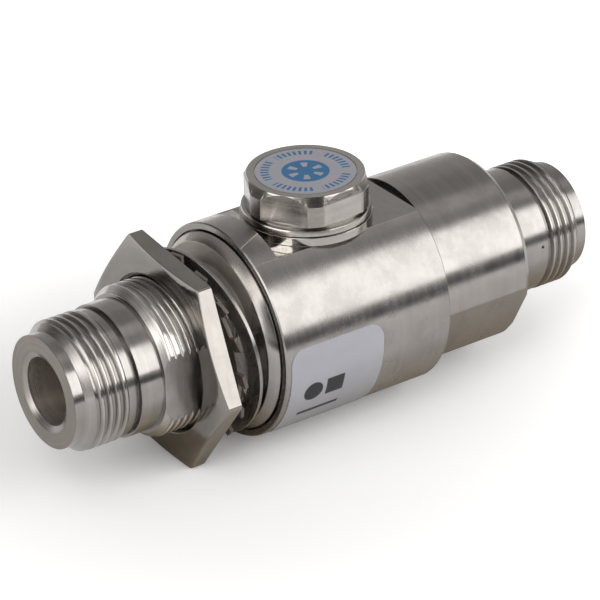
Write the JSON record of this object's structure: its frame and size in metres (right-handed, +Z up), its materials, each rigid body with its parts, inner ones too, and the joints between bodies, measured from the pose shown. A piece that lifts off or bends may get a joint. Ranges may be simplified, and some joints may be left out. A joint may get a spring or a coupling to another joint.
{
  "type": "coax lightning arrestor",
  "caption": "Bulkhead coaxial surge protector with a screw jack at each end, a panel nut on a threaded neck and a hex cap over its gas discharge tube.",
  "frame": {"origin": "on the connector axis, in the shoulder face that the panel is clamped against", "axes": "+X along the connector axis from the bulkhead jack to the rear jack, +Z up through the gas tube's cap"},
  "size_m": [0.0745, 0.0288, 0.0304],
  "materials": {
    "turned_nickel": "brass, satin nickel plated, turned",
    "cap_nickel": "brass, bright nickel plated",
    "nut_nickel": "brass, nickel plated, milled",
    "washer_nickel": "stamped spring steel, nickel plated",
    "contact_plate": "bronze, plated",
    "bushing_brass": "bare brass",
    "bead_plastic": "white fluoroplastic",
    "seal_rubber": "black rubber",
    "tube_metal": "plated iron alloy",
    "tube_ceramic": "white alumina",
    "spring_bronze": "spring bronze",
    "cap_label": "silver grey foil with a blue print",
    "sticker": "pale grey film"
  },
  "bodies": {
    "housing": {"front_body": "turned_nickel", "main_body": "turned_nickel", "rear_body": "turned_nickel", "front_seal": "seal_rubber", "rear_seal": "seal_rubber", "front_contact": "contact_plate", "rear_contact": "contact_plate", "front_bead": "bead_plastic", "rear_bead": "bead_plastic", "front_bushing": "bushing_brass", "rear_bushing": "bushing_brass", "centre_conductor": "contact_plate", "contact_pad": "contact_plate", "sticker": "sticker"},
    "washers": {"lock_washer": "washer_nickel", "flat_washer": "washer_nickel"},
    "nut": {"hex_nut": "nut_nickel"},
    "gas_tube": {"cap_washer": "washer_nickel", "cap_seal": "seal_rubber", "tube_lower_electrode": "tube_metal", "tube_upper_electrode": "tube_metal", "tube_ceramic": "tube_ceramic", "tube_spring": "spring_bronze"},
    "cap_head": {"cap": "cap_nickel", "cap_label": "cap_label"}
  },
  "joints": [
    {"name": "washer_slide", "type": "slide", "parent": "housing", "child": "washers", "axis": [1, 0, 0], "range_m": [-0.0061, 0.00072]},
    {"name": "nut_turn", "type": "hinge", "parent": "washers", "child": "nut", "pos_m": [-0.0069, 0, 0], "axis": [1, 0, 0], "range_deg": [-2380, 277]},
    {"name": "tube_lift", "type": "slide", "parent": "housing", "child": "gas_tube", "axis": [0, 0, 1], "range_m": [-0.00001, 0.0045]},
    {"name": "cap_turn", "type": "hinge", "parent": "gas_tube", "child": "cap_head", "pos_m": [0.0136, 0, 0.0153], "axis": [0, 0, 1], "range_deg": [0, 2112]}
  ],
  "couplings": [
    {"joint": "washer_slide", "follows": "nut_turn", "m_per_rad": 0.00014435},
    {"joint": "tube_lift", "follows": "cap_turn", "m_per_rad": 0.00011937}
  ]
}
